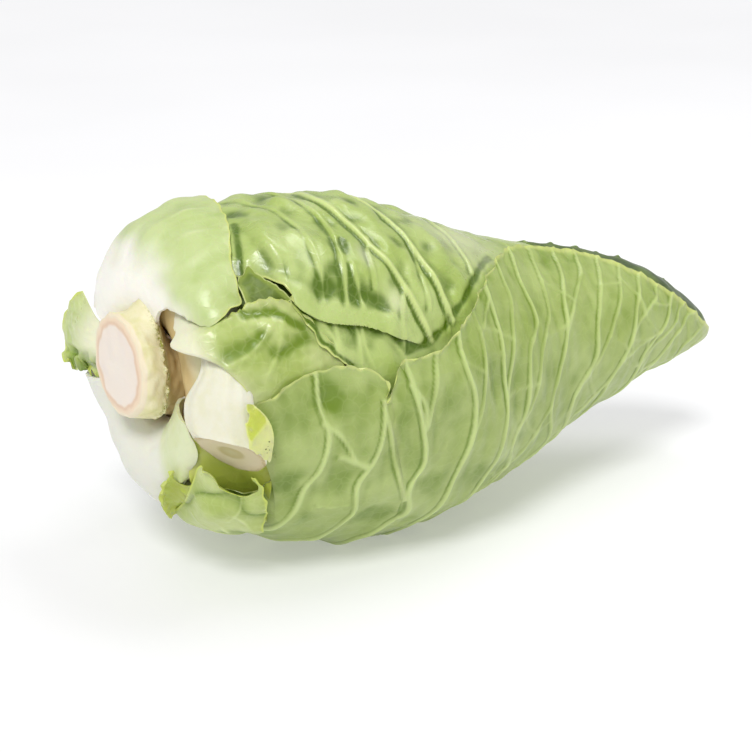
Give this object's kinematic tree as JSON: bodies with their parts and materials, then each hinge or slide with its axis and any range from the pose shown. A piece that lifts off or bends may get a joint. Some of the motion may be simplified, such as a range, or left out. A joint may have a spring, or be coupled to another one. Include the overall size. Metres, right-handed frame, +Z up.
{
  "type": "pointed cabbage",
  "caption": "Pointed cabbage lying on its side, with a cut stump, trimmed white leaf bases and veined wrapper leaves that close to a point.",
  "frame": {"origin": "middle of the underside of the head's box, on the surface it lies on", "axes": "+X along the head from the stump to the point, +Z up, -Y towards the front leaf"},
  "size_m": [0.2518, 0.1258, 0.1266],
  "materials": {
    "stump_pith": "moist cut pith with a thin rind",
    "white_stalk": "smooth waxy stalk",
    "outer_leaf": "waxy veined leaf",
    "upper_leaf": "glossy blistered leaf",
    "dark_leaf": "waxy dark green leaf",
    "pale_leaf": "pale waxy leaf",
    "white_leaf_base": "smooth white leaf base",
    "torn_leaf": "thin torn leaf",
    "inner_leaf": "pale crisp leaf"
  },
  "bodies": {
    "root": {"stump": "stump_pith", "cut_stalk_front": "white_stalk", "wrapper_leaf_front": "outer_leaf", "wrapper_leaf_top": "upper_leaf", "wrapper_leaf_back": "dark_leaf", "trimmed_leaf_top": "pale_leaf", "trimmed_leaf_under": "white_leaf_base", "torn_leaf_under": "torn_leaf", "flared_leaf_back": "pale_leaf", "torn_leaf_front": "torn_leaf", "torn_flap": "torn_leaf", "inner_leaf_1": "inner_leaf", "inner_leaf_2": "inner_leaf", "inner_leaf_3": "inner_leaf", "inner_leaf_4": "inner_leaf", "inner_leaf_5": "inner_leaf", "inner_leaf_6": "inner_leaf", "heart_bud": "inner_leaf"}
  },
  "joints": []
}
